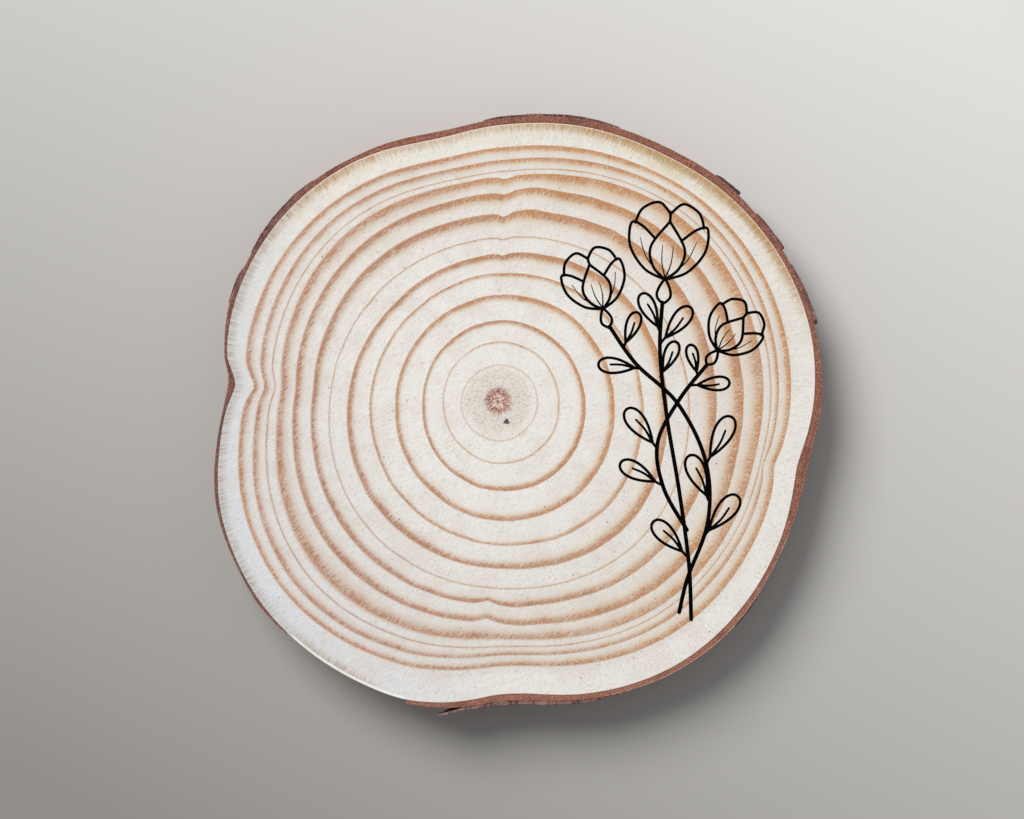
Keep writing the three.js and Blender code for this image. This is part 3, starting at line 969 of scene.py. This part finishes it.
def plates(s, z, wide, tall, seed):
    """Flaky plates on the bark's side: each point's height and how much of a crack it is, both from
    0 to 1. s runs round the slice and z up it, in mm."""
    u = s / wide + 0.5 * (layered(s / wide * 1.7, z / tall * 1.4, seed=seed) - 0.5)
    v = z / tall + 0.7 * (layered(s / wide * 1.4, z / tall * 1.7, seed=seed + 5) - 0.5)
    base_u, base_v = np.floor(u).astype(np.int64), np.floor(v).astype(np.int64)
    far = 9.0
    near, second, height = np.full(u.shape, far), np.full(u.shape, far), np.zeros(u.shape)
    for du in (-1, 0, 1):
        for dv in (-1, 0, 1):
            cu, cv = base_u + du, base_v + dv
            across = u - cu - lattice(cu, cv, 0, seed)
            up = v - cv - lattice(cu, cv, 1, seed)
            d = np.hypot(across, up)
            lean = lattice(cu, cv, 3, seed) - 0.5
            value = lattice(cu, cv, 2, seed) + 0.5 * up + 0.4 * lean * across
            closer = d < near
            second = np.where(closer, near, np.minimum(second, d))
            height = np.where(closer, value, height)
            near = np.where(closer, d, near)
    crack_width = 0.16
    crack = 1 - clamped((second - near) / crack_width)
    return clamped(height) * (1 - 0.7 * crack), crack


def bark_relief(s, z):
    """Height from 0 to 1 and crack share over the bark's side, from large and small plates."""
    large, wide_crack = plates(s, z, 8.0, 5.5, SEED)
    small, fine_crack = plates(s, z, 2.6, 1.7, SEED + 20)
    grit = layered(s / 0.7, z / 0.7, seed=SEED + 3)
    height = 0.5 * large + 0.3 * small + 0.2 * grit
    return height, clamped(wide_crack + 0.45 * fine_crack)


def clinging_crumbs(degrees):
    """How many pale crumbs cling to the bark's outer edge at each angle, from 0 to 1."""
    turn, fade = np.mod(degrees, 360), 3
    crumbs = np.full(len(degrees), FEW_CRUMBS)
    for low, high in CRUMBS:
        crumbs = np.maximum(crumbs, clamped(np.minimum(turn - low, high - turn) / fade))
    return crumbs


def torn_ends(degrees, heights_mm):
    """How far each point moves along the bark, in metres, so that the band's ends are ragged."""
    start, end = degrees[0], degrees[-1]
    near_end = 1 - clamped(np.minimum(degrees - start, end - degrees) / TEAR_SPAN)
    raggeds = (layered(heights_mm / 2.2, row, seed=3) for row in (2.0, 7.4))
    first, last = (TEAR * MM * clamped(ragged - 0.3, 0, 0.4) for ragged in raggeds)
    below_top = clamped((TOP / MM - heights_mm) / 2, 0.06)
    tear = np.where((degrees < (start + end) / 2)[:, None], first, -last)
    return tear * near_end[:, None] * below_top


def make_bark():
    """The bark band: a cut face above and below, and a flaky outer surface."""
    step = 0.36
    start, end = BARE_TO, BARE_FROM + 360
    degrees = np.linspace(start, end, int((end - start) / step) + 1)
    inner, outer = WOOD_RADIUS(degrees), bark_radius(degrees) - INSIDE
    depths = np.linspace(0, 1, 7)
    heights = np.linspace(TOP, 0, 29)
    heights_mm = heights / MM
    side, crack = bark_relief(*np.meshgrid(np.radians(degrees) * AROUND, heights_mm, indexing="ij"))
    from_edge = clamped(np.minimum(heights_mm, TOP / MM - heights_mm) / 1.8)
    deepest = np.minimum(0.85 * MM, 0.6 * (outer - inner))
    hollow = deepest[:, None] * (1 - side) * (0.12 + 0.88 * from_edge)
    crumbs = clinging_crumbs(degrees)
    tear = torn_ends(degrees, heights_mm)

    # One closed outline per angle: across the top, down the outside, back below, up the inside
    lowest = len(heights) - 1
    ring = [(d, 0) for d in depths[:-1]] + [(1.0, k) for k in range(lowest + 1)]
    ring += [(d, lowest) for d in depths[-2::-1]] + [(0.0, k) for k in range(lowest - 1, 0, -1)]
    points, marks = [], []
    for i, a in enumerate(np.radians(degrees)):
        for d, k in ring:
            r = inner[i] + d * (outer[i] - inner[i] - hollow[i, k])
            points.append(at_angle(a + tear[i, k] / r, r, heights[k]))
            outside = d == 1.0
            depth = SIDE_DEPTH if outside and 0 < k < lowest else d
            flake = (crack[i, k], side[i, k]) if outside else (0.0, 0.5)
            marks.append((depth, crumbs[i], *flake))
    finish_bark("bark", len(degrees), points, marks, INNER_BARK, "bark_band")


def finish_bark(name, rows, points, marks, material, node):
    """Closes a row of outlines, one per angle, into a piece of bark, and marks its vertices."""
    count = len(points) // rows
    last = (rows - 1) * count
    faces = [f[::-1] for f in sheet_faces(rows, count, False, True)]
    faces += [tuple(range(count)), tuple(range(last, last + count))[::-1]]
    piece = new_piece(name, points, faces, [material])
    for layer, values in zip(("depth", "crumb", "crack", "plate"), zip(*marks)):
        give(piece.data, layer, values)
    smooth_by_angle(piece, 55)
    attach(piece, "root")
    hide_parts(node)


def scale_outline(node):
    """The CAD plate's angles, finely spaced, and its inner radius, outer radius and lower edge."""
    corners = points_of(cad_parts[node].data)
    degrees = np.mod(np.degrees(np.arctan2(corners[:, 1], corners[:, 0])), 360)
    radius = np.hypot(corners[:, 0], corners[:, 1])
    columns = sorted({round(float(a), 2) for a in degrees})
    at = [np.abs(degrees - a) < 0.02 for a in columns]
    upper = [radius[here & (corners[:, 2] > TOP - 0.2 * MM)] for here in at]
    lowest = [corners[here, 2].min() for here in at]
    span, step, fewest = columns[-1] - columns[0], 0.3, 14
    fine = np.linspace(columns[0], columns[-1], max(fewest, int(span / step)))
    inner = np.interp(fine, columns, [min(r) for r in upper])
    outer = np.interp(fine, columns, [max(r) for r in upper])
    return fine, inner, outer, np.interp(fine, columns, lowest)


def make_scale(node):
    """One outer bark scale, finer and more ragged than the CAD plate it stands for."""
    degrees, inner, outer, low = scale_outline(node)
    seed = SEED + len(node) * 7
    along = np.linspace(0, 1, len(degrees))
    around_mm = np.radians(degrees) * AROUND

    # The lower edge hangs deepest near the middle and climbs in ragged steps to both ends
    hang = clamped(np.sin(np.pi * (0.04 + 0.92 * along))) ** 0.55
    hang = clamped(hang * (0.42 + 1.0 * layered(around_mm / 1.7, 1.0, seed=seed)), 0.12)
    bottom = np.maximum(TOP - (TOP - low) * hang, 0.3 * MM)
    crest = TOP - 0.3 * MM * layered(around_mm / 0.8, 3.0, seed=seed)
    levels = np.linspace(0, 1, 19)
    z = crest[:, None] + (bottom - crest)[:, None] * levels[None, :]
    s = np.repeat(around_mm[:, None], len(levels), 1)
    plate, crack = plates(s, z / MM, 2.4, 1.6, seed)
    crack = np.maximum(crack, DARK_SCALES.get(node, 0.0) * clamped(1.2 - 3 * levels)[None, :])
    grit = layered(s / 0.6, z / MM / 0.6, seed=seed)
    ends = clamped(np.minimum(along, 1 - along) * len(degrees) / 2 + 0.6)[:, None]
    edge = clamped(np.minimum(levels * 8 + 0.85, (1 - levels) * 6 + 0.15))[None, :]
    thick = (outer - inner)[:, None] * ends * edge * (0.7 + 0.18 * plate + 0.12 * grit)

    # Where it hasn't lifted off it is sunk a little into the band, and the lifted tip is pale
    lifted = clamped((inner - bark_radius(degrees)) / (0.4 * MM))
    thick += (SUNK * (1 - lifted))[:, None]
    inner = inner - SUNK * (1 - lifted)
    points, marks = [], []
    for i, a in enumerate(np.radians(degrees)):
        for k in range(len(levels)):
            points.append(at_angle(a, inner[i] + thick[i, k], z[i, k]))
            pale = lifted[i] * max(0.0, 1 - 5 * levels[k])
            depth, crumbs = SCALE_DEPTH + 0.37 * pale, FEW_CRUMBS + 0.8 * pale
            marks.append((depth, crumbs, crack[i, k], plate[i, k]))
        for k in range(len(levels) - 1, -1, -1):
            points.append(at_angle(a, inner[i], z[i, k]))
            marks.append((BACK_DEPTH, FEW_CRUMBS, crack[i, k], 0.5))
    finish_bark(f"{node}_flake", len(degrees), points, marks, OUTER_BARK, node)


# ---------------------------------------------------------------- stage


def make_floor():
    half = 1.5
    corners = [(-half, -half, 0), (half, -half, 0), (half, half, 0), (-half, half, 0)]
    floor = new_piece("floor", corners, [(0, 1, 2, 3)], [floor_painted_falloff()])


def make_light():
    """Soft light from everywhere, and one large disk lamp high at the upper left."""
    world = bpy.data.worlds.new("studio")
    world.use_nodes = True
    back = world.node_tree.nodes["Background"]
    back.inputs["Color"].default_value = (0.96, 0.98, 1.0, 1)
    back.inputs["Strength"].default_value = 0.33
    SCENE.world = world
    key = bpy.data.lights.new("key", "AREA")
    key.shape = "DISK"
    key.size = 1.1
    key.energy = 30
    key.color = (1.0, 0.992, 0.984)
    lamp = bpy.data.objects.new("key", key)
    reach, turn, rise = 1.8, math.radians(127), math.radians(44)
    lamp.location = at_angle(turn, reach * math.cos(rise), reach * math.sin(rise))
    lamp.rotation_euler = (math.radians(90) - rise, 0, turn + math.radians(90))
    SCENE.collection.objects.link(lamp)


def make_camera():
    """Straight above, with the slice's face filling 0.6 of the picture's width."""
    lens = bpy.data.cameras.new("camera")
    lens.lens = 100
    lens.sensor_width = 36
    picture_width = 170.7 * MM
    middle_x, middle_y = 2.33 * MM, -1.42 * MM
    camera = bpy.data.objects.new("camera", lens)
    height = picture_width * lens.lens / lens.sensor_width
    camera.location = (middle_x, middle_y, TOP + height)
    SCENE.collection.objects.link(camera)
    SCENE.camera = camera
    SCENE.view_settings.view_transform = "Standard"


make_camera()
make_light()
make_floor()
make_wood(make_engraving())
make_pith()
make_bark()
for node in sorted(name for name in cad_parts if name.startswith("bark_scale")):
    make_scale(node)
